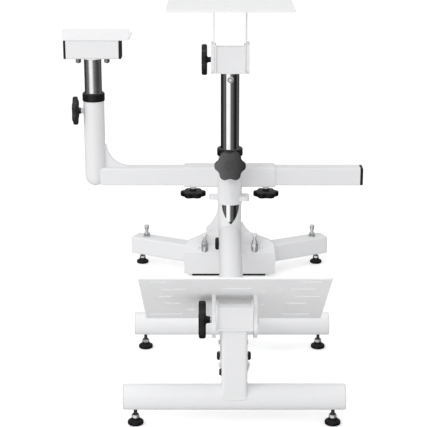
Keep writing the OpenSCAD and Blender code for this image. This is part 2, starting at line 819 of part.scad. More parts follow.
// ---------- levelling feet ----------
// Foot on the floor at x, y; the stem reaches 22 above the tube's underside
module foot(x, y, tube_bottom) {
  rim = foot_diameter / 2;
  color(black) translate([x, y, 0]) {
    rotate_extrude() polygon([[0, 0], [rim - 3, 0], [rim, 3], [rim, 6], [rim - 2.5, 8.5],
      [9, 9.5], [9, 15], [0, 15]]);
    raise(14) hex_prism(15, 7);
    raise(21) cylinder(r = 7, h = 2);
    cylinder(r = stem_r, h = tube_bottom + 22);
  }
}
module foot_front_left() { foot(-foot_x, -front_y, bar_z - bar_r); }
module foot_front_right() { foot(foot_x, -front_y, bar_z - bar_r); }
module foot_mid_left() { foot(-foot_x, -mid_y, bar_z - bar_r); }
module foot_mid_right() { foot(foot_x, -mid_y, bar_z - bar_r); }
module foot_rear_left() { foot(-leg_foot_x, leg_foot_y, leg_z); }
module foot_rear_right() { foot(leg_foot_x, leg_foot_y, leg_z); }

main_tube();
front_crossbar();
mid_crossbar();
crossbar_end_caps();
front_upright();
upright_spigot();
spigot_bolts();
pedal_tilt_box();
column_tube();
base_shell();
base_plate();
base_pad();
left_leg();
right_leg();
leg_end_caps();
leg_end_bolts();
base_studs();
tube_clamp_cap();
column_bush();
arm_carrier();
sleeve_liners();
pedal_plate();
pedal_brackets();
pedal_pivot_bolt();
chrome_column();
column_slide_bush();
wheel_tilt_box();
neck_bolt();
wheel_deck();
wheel_brackets();
wheel_pivot_bolt();
arm_tube();
arm_end_cap();
arm_post();
post_bush();
post_slide_bush();
chrome_post();
shifter_box();
box_end_caps();
shifter_plate();
shifter_bolts();
main_knob();
main_knob_screw();
sleeve_knob_left();
sleeve_screw_left();
sleeve_knob_right();
sleeve_screw_right();
post_knob();
post_knob_screw();
wheel_tilt_knob();
pedal_tilt_knob();
foot_front_left();
foot_front_right();
foot_mid_left();
foot_mid_right();
foot_rear_left();
foot_rear_right();
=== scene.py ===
# Stand for a steering wheel, pedals and shifter. The column rises from the origin, the pedals
# sit in front of it at -Y, the shifter is on the left at -X, and +Z is up.
# Shapes are written in millimetres and place() turns them into metres. Distances in
# materials, lights and the camera are in metres.
import bmesh
import bpy
import json
import math
import random
from mathutils import Matrix, Vector

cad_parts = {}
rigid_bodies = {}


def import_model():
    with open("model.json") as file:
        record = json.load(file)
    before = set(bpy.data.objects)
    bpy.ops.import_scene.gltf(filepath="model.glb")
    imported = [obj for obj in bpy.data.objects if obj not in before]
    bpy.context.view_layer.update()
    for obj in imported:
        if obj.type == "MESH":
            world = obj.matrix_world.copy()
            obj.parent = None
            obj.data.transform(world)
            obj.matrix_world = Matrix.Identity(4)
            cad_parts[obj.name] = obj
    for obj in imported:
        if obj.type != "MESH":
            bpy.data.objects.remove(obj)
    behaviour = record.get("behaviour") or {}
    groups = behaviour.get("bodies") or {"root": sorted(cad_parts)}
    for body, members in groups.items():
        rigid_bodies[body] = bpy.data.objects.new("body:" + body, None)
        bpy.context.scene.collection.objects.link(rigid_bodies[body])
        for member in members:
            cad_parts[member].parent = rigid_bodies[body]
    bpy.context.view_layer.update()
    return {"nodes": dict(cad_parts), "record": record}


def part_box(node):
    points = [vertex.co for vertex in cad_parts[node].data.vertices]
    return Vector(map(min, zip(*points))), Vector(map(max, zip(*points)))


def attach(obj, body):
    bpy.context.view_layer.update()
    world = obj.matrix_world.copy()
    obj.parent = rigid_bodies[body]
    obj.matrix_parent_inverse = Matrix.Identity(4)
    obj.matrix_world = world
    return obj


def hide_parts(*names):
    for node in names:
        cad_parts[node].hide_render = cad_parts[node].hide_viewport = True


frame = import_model()
random.seed(7)

MM = 0.001
PI = math.pi
SIDES = (("left", -1), ("right", 1))

# places shared by several pieces
PEDAL_Y = -977             # pedal upright and the crossbar under it
PEDAL_PIVOT_Z = 236
WHEEL_PIVOT_Z = 610
LONG_TUBE_Z = 119.5        # axis of the long tube between upright and column
SHIFTER_X, SHIFTER_Y = -379.5, 63.5
SHIFTER_BOLT_Z = 604.0     # level the shifter bolts are measured from


# ------------------------------------------------------------------ node trees
class Graph:
    """Short calls for building a node tree."""

    def __init__(self, tree, output_kind):
        self.tree = tree
        tree.nodes.clear()
        self.output = self.node(output_kind)

    def node(self, kind, **settings):
        node = self.tree.nodes.new(kind)
        for key, value in settings.items():
            setattr(node, key, value)
        return node

    def feed(self, socket, value):
        """link a socket, or set a number or an RGB colour"""
        if isinstance(value, bpy.types.NodeSocket):
            self.tree.links.new(value, socket)
        elif isinstance(value, tuple):
            socket.default_value = value + (1,)
        else:
            socket.default_value = value

    def fed(self, kind, *values, **settings):
        """output of a node whose first inputs take the values in order"""
        node = self.node(kind, **settings)
        for socket, value in zip(node.inputs, values):
            self.feed(socket, value)
        return node.outputs[0]

    def math(self, operation, *values):
        return self.fed("ShaderNodeMath", *values, operation=operation)

    def remap(self, source, span, to=(0.0, 1.0)):
        """carry the span of the source to the values in `to`, clamped"""
        return self.fed("ShaderNodeMapRange", source, *span, *to)

    def mix(self, factor, low, high):
        node = self.node("ShaderNodeMix", data_type="RGBA")
        for index, value in ((0, factor), (6, low), (7, high)):
            self.feed(node.inputs[index], value)
        return node.outputs[2]

    def mix_shaders(self, factor, low, high):
        return self.fed("ShaderNodeMixShader", factor, low, high)


class Material(Graph):
    """A Principled material textured in object space."""

    def __init__(self, name):
        self.material = bpy.data.materials.new(name)
        self.material.use_nodes = True
        super().__init__(self.material.node_tree, "ShaderNodeOutputMaterial")
        self.principled = self.node("ShaderNodeBsdfPrincipled")
        self.feed(self.output.inputs[0], self.principled.outputs[0])
        self.coords = self.node("ShaderNodeTexCoord").outputs["Object"]

    def stretched(self, scale):
        node = self.node("ShaderNodeMapping")
        node.inputs["Scale"].default_value = scale
        self.feed(node.inputs[0], self.coords)
        return node.outputs[0]

    def noise(self, scale, detail=2.0, rough=0.5, coords=None):
        node = self.node("ShaderNodeTexNoise")
        node.inputs["Scale"].default_value = scale
        node.inputs["Detail"].default_value = detail
        node.inputs["Roughness"].default_value = rough
        self.feed(node.inputs["Vector"], coords or self.coords)
        return node.outputs["Fac"]

    def cells(self, scale):
        node = self.node("ShaderNodeTexVoronoi", feature="SMOOTH_F1")
        node.inputs["Scale"].default_value = scale
        self.feed(node.inputs["Vector"], self.coords)
        return node.outputs["Distance"]

    def bump(self, height, strength, distance, normal=None):
        node = self.node("ShaderNodeBump")
        node.inputs["Strength"].default_value = strength
        node.inputs["Distance"].default_value = distance
        self.feed(node.inputs["Height"], height)
        if normal is not None:
            self.feed(node.inputs["Normal"], normal)
        return node.outputs[0]

    def edge(self, radius):
        """1 on convex and concave edges, 0 on flats"""
        bevel = self.node("ShaderNodeBevel")
        bevel.samples = 3
        bevel.inputs["Radius"].default_value = radius
        geometry = self.node("ShaderNodeNewGeometry")
        dot = self.node("ShaderNodeVectorMath", operation="DOT_PRODUCT")
        self.feed(dot.inputs[0], bevel.outputs[0])
        self.feed(dot.inputs[1], geometry.outputs["Normal"])
        return self.remap(dot.outputs["Value"], span=(0.86, 0.995), to=(1.0, 0.0))

    def surface(self, **inputs):
        """feed Principled inputs, named with _ for a space"""
        for key, value in inputs.items():
            self.feed(self.principled.inputs[key.replace("_", " ")], value)
        return self.material


def shade(colour, factor, lift=0.0):
    return tuple(min(1, channel * factor + lift) for channel in colour)


# ------------------------------------------------------------------- materials
def powder_coat(name, base, rough=0.42, peel=620.0, glow=0.0):
    """paint with dusty edges, fine specks and orange peel of the given scale; glow is a
    painted fill light, an emission that lifts the paint's shade
    """
    mat = Material(name)
    tone = mat.remap(mat.noise(scale=5.0, detail=3.0), span=(0.3, 0.7))
    colour = mat.mix(tone, shade(base, 0.985), base)
    edges = mat.edge(radius=0.0016)
    patches = mat.noise(scale=240.0, detail=4.0, rough=0.7)
    dust = mat.math("MULTIPLY", edges, mat.remap(patches, span=(0.38, 0.72), to=(0.0, 0.55)))
    colour = mat.mix(dust, colour, shade(base, 0.80))
    specks = mat.remap(mat.noise(scale=900.0, detail=1.0), span=(0.70, 0.80), to=(0.0, 0.22))
    colour = mat.mix(specks, colour, shade(base, 0.86))
    gloss = mat.remap(mat.noise(scale=34.0, detail=4.0), span=(0.3, 0.7),
                      to=(rough - 0.05, rough + 0.06))
    dust_rough = 0.18
    gloss = mat.math("ADD", gloss, mat.math("MULTIPLY", dust, dust_rough))
    normal = mat.bump(mat.noise(scale=peel, detail=1.5), strength=0.34, distance=0.0003)
    normal = mat.bump(mat.noise(scale=peel * 3.1, detail=1.0), strength=0.14, distance=0.0001,
                      normal=normal)
    # glow: painted fill light, the paint gives off a little white light of its own
    return mat.surface(Base_Color=colour, Roughness=gloss, Normal=normal, Coat_Weight=0.12,
                       Coat_Roughness=0.22, Specular_IOR_Level=0.42,
                       Emission_Color=(1, 1, 1), Emission_Strength=glow)


def nylon(name, base, rough=0.46, specular=0.5):
    """grained plastic, paler on worn edges"""
    mat = Material(name)
    edges = mat.edge(radius=0.0013)
    tone = mat.remap(mat.noise(scale=60.0, detail=4.0), span=(0.3, 0.7))
    colour = mat.mix(tone, shade(base, 0.8), base)
    patches = mat.noise(scale=420.0, detail=3.0)
    wear = mat.math("MULTIPLY", edges, mat.remap(patches, span=(0.4, 0.65), to=(0.1, 0.85)))
    colour = mat.mix(wear, colour, shade(base, 2.4, lift=0.015))
    grain = mat.noise(scale=1500.0, detail=2.0, rough=0.6)
    normal = mat.bump(grain, strength=0.5, distance=0.00016)
    normal = mat.bump(mat.cells(scale=900.0), strength=0.25, distance=0.0001, normal=normal)
    gloss = mat.remap(mat.noise(scale=90.0, detail=4.0), span=(0.3, 0.7),
                      to=(rough - 0.06, rough + 0.08))
    return mat.surface(Base_Color=colour, Roughness=gloss, Normal=normal,
                       Specular_IOR_Level=specular)


def metal(name, base, rough, metallic=1.0):
    """metal streaked along its Z, brighter on edges"""
    mat = Material(name)
    streaks = mat.noise(scale=1.0, detail=3.0, rough=0.6,
                        coords=mat.stretched((900.0, 900.0, 40.0)))
    tone = mat.remap(mat.noise(scale=120.0, detail=4.0), span=(0.3, 0.7))
    colour = mat.mix(tone, base, shade(base, 0.8))
    wear_amount = 0.6
    wear = mat.math("MULTIPLY", mat.edge(radius=0.0007), wear_amount)
    colour = mat.mix(wear, colour, shade(base, 1.25))
    streak_gloss = mat.remap(streaks, span=(0.25, 0.75), to=(rough * 0.7, rough * 1.35))
    patches = mat.remap(mat.noise(scale=70.0, detail=3.0), span=(0.35, 0.65), to=(0.0, 0.06))
    gloss = mat.math("ADD", streak_gloss, patches)
    return mat.surface(Base_Color=colour, Roughness=gloss, Metallic=metallic,
                       Normal=mat.bump(streaks, strength=0.12, distance=0.00008))


def chrome(name, soft=0.0):
    """smudged chrome with a painted dark reflection at grazing angles; soft adds roughness"""
    mat = Material(name)
    streaks = mat.noise(scale=1.0, detail=2.0, rough=0.5,
                        coords=mat.stretched((700.0, 700.0, 6.0)))
    smudge = mat.noise(scale=38.0, detail=5.0, rough=0.7)
    clean, smudged, grazing = (0.90, 0.90, 0.91), (0.84, 0.84, 0.85), (0.05, 0.05, 0.055)
    colour = mat.mix(mat.remap(smudge, span=(0.35, 0.65)), clean, smudged)
    streak_gloss = mat.remap(streaks, span=(0.3, 0.7), to=(0.03 + soft, 0.075 + soft))
    smudge_gloss = mat.remap(smudge, span=(0.52, 0.75), to=(0.0, 0.05))
    gloss = mat.math("ADD", streak_gloss, smudge_gloss)
    # painted dark reflection: the colour turns near black where the surface is seen at
    # grazing angles
    weight = mat.node("ShaderNodeLayerWeight")
    weight.inputs["Blend"].default_value = 0.5
    rim = mat.remap(weight.outputs["Facing"], span=(0.62, 0.92), to=(0.0, 0.8))
    colour = mat.mix(rim, colour, grazing)
    return mat.surface(Base_Color=colour, Roughness=gloss, Metallic=1.0,
                       Normal=mat.bump(streaks, strength=0.03, distance=0.00005))


def knob_nylon_painted_sheen():
    """nylon with a painted sheen, paler on its left side where the light falls, and black on
    its front face
    """
    mat = Material("nylon_knob_painted_sheen")
    position = mat.node("ShaderNodeSeparateXYZ")
    mat.feed(position.inputs[0], mat.coords)
    dark, pale = (0.013, 0.013, 0.014), (0.150, 0.150, 0.154)
    face, worn = (0.012, 0.012, 0.0125), (0.10, 0.10, 0.102)
    # painted sheen: the side turns paler towards the left, where the light falls
    left = mat.remap(position.outputs["X"], span=(-0.045, 0.045), to=(1.0, 0.0))
    colour = mat.mix(left, dark, pale)
    behind_face = mat.remap(position.outputs["Y"], span=(-0.0735, -0.0705))
    colour = mat.mix(behind_face, colour, face)
    edges = mat.edge(radius=0.0013)
    patches = mat.noise(scale=420.0, detail=3.0)
    wear = mat.math("MULTIPLY", edges, mat.remap(patches, span=(0.4, 0.65), to=(0.1, 0.7)))
    colour = mat.mix(wear, colour, worn)
    grain = mat.noise(scale=1500.0, detail=2.0, rough=0.6)
    normal = mat.bump(grain, strength=0.5, distance=0.00016)
    gloss = mat.remap(mat.noise(scale=90.0, detail=4.0), span=(0.3, 0.7), to=(0.46, 0.6))
    return mat.surface(Base_Color=colour, Roughness=gloss, Normal=normal,
                       Specular_IOR_Level=0.3)


# material of each slot the CAD pieces name
SLOT_MATERIALS = {
    # both white paints glow a little as a painted fill light; the pedal plate's paint is a
    # lit copy, paler and glowing more to lift its shaded underside
    "white_paint": powder_coat("powder_white", base=(0.92, 0.92, 0.925), glow=0.02),
    "plate_paint": powder_coat("powder_white_plate_painted_light", base=(0.94, 0.94, 0.945), rough=0.46,
                               peel=760.0, glow=0.075),
    "white_plastic": nylon("plastic_white", base=(0.86, 0.86, 0.865), rough=0.4),
    "black_plastic": nylon("nylon_black", base=(0.009, 0.009, 0.0095), rough=0.42,
                           specular=0.34),
    "foot_plastic": nylon("nylon_foot", base=(0.005, 0.005, 0.0055), rough=0.48,
                          specular=0.22),
    "black_steel": metal("steel_black", base=(0.03, 0.03, 0.032), rough=0.34, metallic=0.55),
    "zinc": metal("zinc", base=(0.80, 0.81, 0.82), rough=0.26, metallic=0.62),
    "chrome_tube": chrome("chrome"),
    "rubber_pad": nylon("rubber", base=(0.03, 0.03, 0.03), rough=0.8),
}
WHITE_PAINT = SLOT_MATERIALS["white_paint"]
BLACK_NYLON = SLOT_MATERIALS["black_plastic"]
BLACK_STEEL = SLOT_MATERIALS["black_steel"]
ZINC = SLOT_MATERIALS["zinc"]
SATIN_CHROME = chrome("chrome_satin", soft=0.22)
# black nylon with a painted sheen on the left side, for the main knob
SHEEN_FACE_NYLON = knob_nylon_painted_sheen()
# darker copy of the zinc, a painted shade for the neck bolt heads and the shifter nuts
SHADED_ZINC = metal("zinc_painted_shade", base=(0.30, 0.30, 0.31), rough=0.3, metallic=0.7)
# near-white copy of the zinc, a painted highlight for caps, washers and bolt ends
LIT_ZINC = metal("zinc_painted_highlight", base=(0.96, 0.96, 0.965), rough=0.36, metallic=0.12)
# paler copy of the black nylon for the post knob, which faces the light: painted light
LIT_KNOB_NYLON = nylon("nylon_knob", base=(0.022, 0.022, 0.0225), rough=0.42, specular=0.36)
# near-black copy of the nylon for the sleeve knobs under the arm: painted shade
SHADED_KNOB_NYLON = nylon("nylon_knob_painted_shade", base=(0.0045, 0.0045, 0.005), rough=0.46, specular=0.22)
STUD_STEEL = metal("stud_black", base=(0.05, 0.05, 0.055), rough=0.3, metallic=0.8)

slots = {part["node"]: part["material_slot"] for part in frame["record"]["subparts"]}

# ------------------------------------------------------------- carried-over CAD
DEFAULT_BEVEL = 0.6
BEVELS = {
    "pedal_tilt_box": 1.4, "wheel_tilt_box": 1.4, "wheel_brackets": 1.2,
    "pedal_brackets": 1.2, "shifter_plate": 0.9, "pedal_plate": 0.8, "wheel_deck": 0.9,
    "arm_carrier": 1.2, "base_shell": 1.4, "front_upright": 0.8, "base_pad": 0.8,
    "arm_end_cap": 1.2, "box_end_caps": 1.3, "crossbar_end_caps": 1.2, "tube_clamp_cap": 1.0,
}


def finish_cad(node, obj):
    """give a CAD piece its material, rounded edges and clean shading"""
    satin = node == "chrome_post"
    obj.data.materials.clear()
    obj.data.materials.append(SATIN_CHROME if satin else SLOT_MATERIALS[slots[node]])
    for face in obj.data.polygons:
        face.use_smooth = True
    weld = obj.modifiers.new("weld", "WELD")
    weld.merge_threshold = 2e-6
    flat = obj.modifiers.new("flat", "DECIMATE")
    flat.decimate_type = "DISSOLVE"
    flat.angle_limit = math.radians(0.6)
    width = BEVELS.get(node, DEFAULT_BEVEL)
    bevel = obj.modifiers.new("round", "BEVEL")
    bevel.width = width * MM
    bevel.segments = 3 if width >= 1.0 else 2
    bevel.limit_method = "ANGLE"
    bevel.angle_limit = math.radians(38)
    bevel.use_clamp_overlap = True
    bevel.miter_outer = "MITER_ARC"
    bevel.harden_normals = False
    obj.modifiers.new("tri", "TRIANGULATE")
    normals = obj.modifiers.new("normals", "WEIGHTED_NORMAL")
    normals.weight = 60
    normals.keep_sharp = False


for cad_node, cad_object in frame["nodes"].items():
    finish_cad(cad_node, cad_object)


# ---------------------------------------------------------------- placing shapes
def shift(x, y, z):
    return Matrix.Translation(Vector((x * MM, y * MM, z * MM)))


def turn(degrees, axis):
    return Matrix.Rotation(math.radians(degrees), 4, axis)


# turns that lay a shape's own +Z along a direction of the stand
TO_RIGHT = turn(90, "Y")
TO_LEFT = turn(-90, "Y")
TO_FRONT = turn(90, "X")
TO_BACK = turn(-90, "X")


def mark_sharp(mesh, degrees):
    """mark the edges whose two faces meet at more than the angle"""
    normals = {}
    for face in mesh.polygons:
        for key in face.edge_keys:
            normals.setdefault(key, []).append(face.normal)
    sharp = []
    for edge in mesh.edges:
        pair = normals.get(tuple(sorted(edge.vertices)), ())
        if len(pair) == 2 and pair[0].angle(pair[1], 0) > math.radians(degrees):
            sharp.append(edge.index)
    for index in sharp:
        mesh.edges[index].use_edge_sharp = True


def place(name, shape, material, body, matrix=Matrix(), node=None, slot="zinc"):
    """make an object of a shape; one that replaces a CAD node hides that node; slot is not
    used
    """
    verts, faces, sharp_angle = shape
    mesh = bpy.data.meshes.new(name)
    mesh.from_pydata([tuple(c * MM for c in vert) for vert in verts], [], faces)
    mesh.validate()
    mesh.transform(matrix)
    mesh.update()
    bm = bmesh.new()
    bm.from_mesh(mesh)
    bmesh.ops.remove_doubles(bm, verts=bm.verts, dist=1e-7)
    bmesh.ops.recalc_face_normals(bm, faces=bm.faces)
    bm.to_mesh(mesh)
    bm.free()
    obj = bpy.data.objects.new(name, mesh)
    bpy.context.scene.collection.objects.link(obj)
    mesh.materials.append(material)
    for face in mesh.polygons:
        face.use_smooth = True
    if sharp_angle:
        mark_sharp(mesh, sharp_angle)
    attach(obj, body)
    if node:
        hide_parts(node)


def fitter(prefix, body, matrix):
    """a function that adds pieces with one name prefix, body and axis"""
    def add(part, shape, material=ZINC, spin=0, **options):
        place(prefix + part, shape, material, body, matrix @ turn(spin, "Z"), **options)
    return add


# ------------------------------------------------- shapes: (verts, faces, sharp angle)
def bridge(rings, sharp, loop=False):
    """skin a row of equal rings; it closes on itself or gets a fan at each end"""
    rows, count = len(rings), len(rings[0])
    verts = [point for ring in rings for point in ring]
    faces = []
    for i in range(rows if loop else rows - 1):
        near, far = i * count, (i + 1) % rows * count
        for j in range(count):
            k = (j + 1) % count
            faces.append((near + j, near + k, far + k, far + j))
    if not loop:
        for row in (0, rows - 1):
            centre = len(verts)
            verts.append(tuple(sum(axis) / count for axis in zip(*rings[row])))
            for j in range(count):
                a, b = row * count + j, row * count + (j + 1) % count
                faces.append((a, b, centre) if row else (b, a, centre))
    return verts, faces, sharp


def circle(radius, count, centre=(0, 0, 0), plane="xy"):
    first, second = ("xyz".index(axis) for axis in plane)
    points = []
    for i in range(count):
        angle = 2 * PI * i / count
        point = list(centre)
        point[first] += radius * math.cos(angle)
        point[second] += radius * math.sin(angle)
        points.append(tuple(point))
    return points


def lathe(profile, sharp, segments=48, base=0.0):
    """profile: (radius, height above base), bottom to top"""
    return bridge([circle(r, segments, (0, 0, base + z)) for r, z in profile], sharp)


def shank(radius, start, end):
    return lathe([(0.5, start), (radius, start), (radius, end), (0.5, end)], 40, segments=32)


def washer(outer, inner, start, height):
    chamfer = min(0.35, height / 3)
    end = start + height
    profile = [(inner, start), (outer - chamfer, start), (outer, start + chamfer),
               (outer, end - chamfer), (outer - chamfer, end), (inner, end)]
    return bridge([circle(r, 48, (0, 0, z)) for r, z in profile], sharp=30, loop=True)


def hex_ring(flats, z, cap, count=60):
    """hexagon with its corners cut back to the cap radius"""
    points = []
    for j in range(count):
        angle = 2 * PI * j / count
        off_flat = ((angle + PI / 6) % (PI / 3)) - PI / 6
        radius = min(flats / 2 / math.cos(off_flat), cap)
        points.append((radius * math.cos(angle), radius * math.sin(angle), z))
    return points


# rounding of a nut's ends: (distance from the end, cap radius / reference radius)
NUT_ROUNDING = [(0, 0.98), (0.35, 1.03), (0.8, 1.09), (1.3, math.inf)]


def hex_nut(flats, start, height, both_ends=True):
    reference = flats / 2 * 1.03
    rings = [(z, cap) for z, cap in NUT_ROUNDING] if both_ends else [(0, math.inf)]
    rings += [(height - z, cap) for z, cap in reversed(NUT_ROUNDING)]
    return bridge([hex_ring(flats, start + z, reference * cap) for z, cap in rings], sharp=28)


def thread(radius, start, end, pitch):
    """rod with a helical groove, closed at both ends"""
    segments, steps_per_pitch = 32, 4
    depth = 0.61 * pitch
    steps = max(2, int((end - start) / (pitch / steps_per_pitch)))
    rings = []
    for i in range(steps + 1):
        z = start + (end - start) * i / steps
        ring = []
        for j in range(segments):
            angle = 2 * PI * j / segments
            phase = ((z - start) / pitch - j / segments) % 1.0
            groove = min(1, max(0, abs(2 * phase - 1) * 1.25 - 0.12))
            r = radius - depth * (1 if i in (0, steps) else groove)
            ring.append((r * math.cos(angle), r * math.sin(angle), z))
        rings.append(ring)
    return bridge(rings, sharp=0)


# ------------------------------------------------------------------- star knobs
KNOB_POINTS = 240
DISH = [(3.0, 0.9), (13.0, 0.9), (15.0, 0.55), (16.2, 0.1), (18.0, 0.0)]  # (radius, z)
# rounded edges: (inset from the outline, distance from the face or from the back)
FACE_EDGE = [(4.6, 0.0), (2.9, 0.25), (1.6, 0.9), (0.7, 1.9), (0.15, 3.1), (0.0, 4.2)]
BACK_EDGE = [(0.0, 4.0), (0.15, 3.0), (0.7, 1.8), (1.6, 0.8), (2.9, 0.2), (4.4, 0)]


def star_outline(radius):
    """six lobes between round valleys, smoothed and scaled to the radius"""
    scale = radius / 42.0
    valley_centre, valley_radius = 52.8 * scale, 18.3 * scale
    radii = []
    for i in range(KNOB_POINTS):
        off_valley = (2 * PI * i / KNOB_POINTS) % (PI / 3) - PI / 6
        r = radius
        side = valley_centre * math.sin(abs(off_valley))
        if side < valley_radius:
            reach = math.sqrt(valley_radius * valley_radius - side * side)
            r = min(radius, valley_centre * math.cos(off_valley) - reach)
        radii.append(r)
    for _ in range(26):                    # round the corners of the lobes
        radii = [(radii[i - 1] + 2 * radii[i] + radii[(i + 1) % KNOB_POINTS]) / 4
                 for i in range(KNOB_POINTS)]
    top = max(radii)
    points = []
    for i, r in enumerate(radii):
        angle = 2 * PI * i / KNOB_POINTS
        r = r * radius / top
        points.append((r * math.cos(angle), r * math.sin(angle)))
    return points


def inset_ring(outline, inset, z):
    ring = []
    for i, (x, y) in enumerate(outline):
        (x0, y0), (x1, y1) = outline[i - 1], outline[(i + 1) % len(outline)]
        along_x, along_y = x1 - x0, y1 - y0
        length = math.hypot(along_x, along_y)
        ring.append((x - along_y / length * inset, y + along_x / length * inset, z))
    return ring


def star_knob(name, node, body, matrix, radius, thick, hub_radius, hub_length, material):
    """knob with its dished face at z = 0 and its hub towards +Z"""
    outline = star_outline(radius)
    hub_end = thick + hub_length
    bore = 5.3
    hub = [(hub_radius + 5.0, thick), (hub_radius + 2.2, thick + 0.5),
           (hub_radius + 0.5, thick + 2.0), (hub_radius, thick + 3.5),
           (hub_radius - 0.3, hub_end - 1.6), (hub_radius - 0.7, hub_end - 0.9),
           (bore, hub_end - 0.8), (bore, thick - 6.0)]
    rings = [circle(r, KNOB_POINTS, (0, 0, z)) for r, z in DISH]
    rings += [inset_ring(outline, inset, z) for inset, z in FACE_EDGE]
    rings += [inset_ring(outline, inset, thick - z) for inset, z in BACK_EDGE]
    rings += [circle(r, KNOB_POINTS, (0, 0, z)) for r, z in hub]
    place(name, bridge(rings, sharp=40), material, body, matrix, node)
    insert = 0.75
    place(name + "_insert", washer(7.0, 5.06, hub_end - insert, insert), ZINC, body, matrix)


def cad_box(node):
    """centre, low corner and high corner of a CAD node"""
    low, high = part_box(node)
    return (low + high) / 2 / MM, low / MM, high / MM


centre, low, high = cad_box("main_knob")
star_knob("knob_main", "main_knob", "column_knob", shift(0, low.y, centre.z) @ TO_BACK,
          radius=43, thick=17, hub_radius=9, hub_length=12, material=SHEEN_FACE_NYLON)
for side, sign in SIDES:
    centre, low, high = cad_box("sleeve_knob_" + side)
    star_knob("knob_sleeve_" + side, "sleeve_knob_" + side, "arm_knob_" + side,
              shift(centre.x, centre.y, low.z),
              radius=36, thick=15, hub_radius=9, hub_length=8, material=SHADED_KNOB_NYLON)
centre, low, high = cad_box("post_knob")
star_knob("knob_post", "post_knob", "shifter_knob",
          shift(low.x, centre.y, centre.z) @ TO_RIGHT,
          radius=40, thick=14, hub_radius=9, hub_length=9, material=LIT_KNOB_NYLON)
centre, low, high = cad_box("wheel_tilt_knob")
star_knob("knob_wheel_tilt", "wheel_tilt_knob", "wheel_knob",
          shift(low.x, 0, centre.z) @ TO_RIGHT,
          radius=42, thick=15, hub_radius=7.5, hub_length=12, material=BLACK_NYLON)
centre, low, high = cad_box("pedal_tilt_knob")
star_knob("knob_pedal_tilt", "pedal_tilt_knob", "pedal_knob",
          shift(low.x, PEDAL_Y, PEDAL_PIVOT_Z) @ TO_RIGHT,
          radius=41, thick=15, hub_radius=7.5, hub_length=10, material=BLACK_NYLON)


# --------------------------------------------------------------- levelling feet
def levelling_foot(node):
    """round pad with a neck, a nut, a washer and a threaded stud up to the CAD's top"""
    centre, low, high = cad_box(node)
    rim = (high.x - low.x) / 2
    neck_top = 15.0
    pad = [(0.5, 0.35), (rim - 3.6, 0.35), (rim - 3.2, 0.0), (rim - 1.9, 0.0),
           (rim - 0.5, 0.9), (rim, 2.4), (rim, 5.3), (rim - 0.35, 6.4), (rim - 1.3, 7.3),
           (rim - 2.8, 8.0), (11.4, 9.0), (9.9, 9.7), (9.1, 10.8), (8.9, 14.2),
           (8.4, 14.9), (4.3, neck_top), (0.5, neck_top)]
    add = fitter(node, "levelling_" + node, shift(centre.x, centre.y, 0))
    add("_pad", lathe(pad, 50, segments=64), SLOT_MATERIALS["foot_plastic"], node=node)
    add("_nut", hex_nut(15, neck_top + 0.02, 6.2), spin=random.uniform(0, 60))
    add("_washer", washer(7.2, 3.9, 21.25, 1.2), STUD_STEEL, slot="black_steel")
    add("_stud", thread(4.0, neck_top + 0.1, high.z, 1.25), STUD_STEEL, slot="black_steel")


for row in ("front", "mid", "rear"):
    for side, sign in SIDES:
        levelling_foot("foot_%s_%s" % (row, side))

# ------------------------------------------------- studs and bolts of the stand
# profiles: (radius, height)
BASE_SPACER = [(5, 62), (8.8, 62), (9, 62.4), (9, 75), (8.7, 75.4), (5, 75.4)]
BASE_CAP = [(1, 106), (6.6, 106), (7.5, 106.8), (7.5, 113.4), (6.2, 115.2), (3.4, 116),
            (0.5, 116)]
LEG_TIP = [(1, 47), (5.7, 47), (6.5, 47.8), (6.5, 57), (5.4, 58.6), (3, 59), (0.5, 59)]


def base_stud(side, sign):
    base = 8.0
    add = fitter("stud_base_" + side, "stand", shift(sign * 70.3, -26, 0))
    add("_rod", thread(5.0, base + 60, base + 111, 1.5), node="base_studs")
    add("_spacer", lathe(BASE_SPACER, 30, base=base))
    add("_washer", washer(10, 5.1, base + 75.5, 1.95))
    add("_nut", hex_nut(17, base + 77.5, 9.9), spin=12 * sign)
    add("_washer_top", washer(8, 5.1, base + 87.45, 1.5))
    add("_nut_top", hex_nut(13, base + 89, 5.9), spin=25 * sign)
    # the cap's near-white zinc is a painted highlight
    add("_cap", lathe(BASE_CAP, 40, base=base), LIT_ZINC)


def leg_bolt(side, sign):
    """upright bolt near the end of a leg, set in along the turned leg"""
    spot = shift(sign * 251.8, 87, 57) @ turn(27 * sign, "Z") @ shift(-15.2 * sign, 0, 0)
    add = fitter("bolt_leg_" + side, "stand", spot)
    add("_rod", thread(5.0, 9, 58.5, 1.5), node="leg_end_bolts")
    add("_nut_inside", hex_nut(16, 14.4, 8))
    add("_washer", washer(10, 5.1, 25.05, 1.9))
    add("_nut", hex_nut(16, 27, 8), spin=18)
    add("_tip", lathe(LEG_TIP, 40))


for side, sign in SIDES:
    base_stud(side, sign)
    leg_bolt(side, sign)

# cross bolts of the long tube, small zinc ends but for the middle one's large black ends
SMALL_END = [(0.5, 30.6), (6, 30.6), (6, 31.4), (5, 31.7), (4.8, 32.6), (4.0, 33.0),
             (0.5, 33.0)]
LARGE_END = [(0.5, 30.3), (9.5, 30.3), (9.5, 34.4), (9.0, 35.3), (7.6, 35.6), (7.4, 36.5),
             (6.6, 37.0), (4.4, 37.0), (4.2, 35.2), (0.5, 35.2)]
for i, (y, large) in enumerate(((-940, False), (-892, True), (-815, False))):
    spot = shift(0, y, LONG_TUBE_Z)
    place("cross_bolt_%d" % i, shank(4, -31, 31), BLACK_STEEL, "stand", spot @ TO_RIGHT,
          node="spigot_bolts")
    for side, direction in (("right", TO_RIGHT), ("left", TO_LEFT)):
        add = fitter("cross_bolt_%d_" % i, "stand", spot @ direction)
        if large:
            add(side, lathe(LARGE_END, 35), BLACK_NYLON, slot="black_plastic")
        else:
            add(side, lathe(SMALL_END, 40))

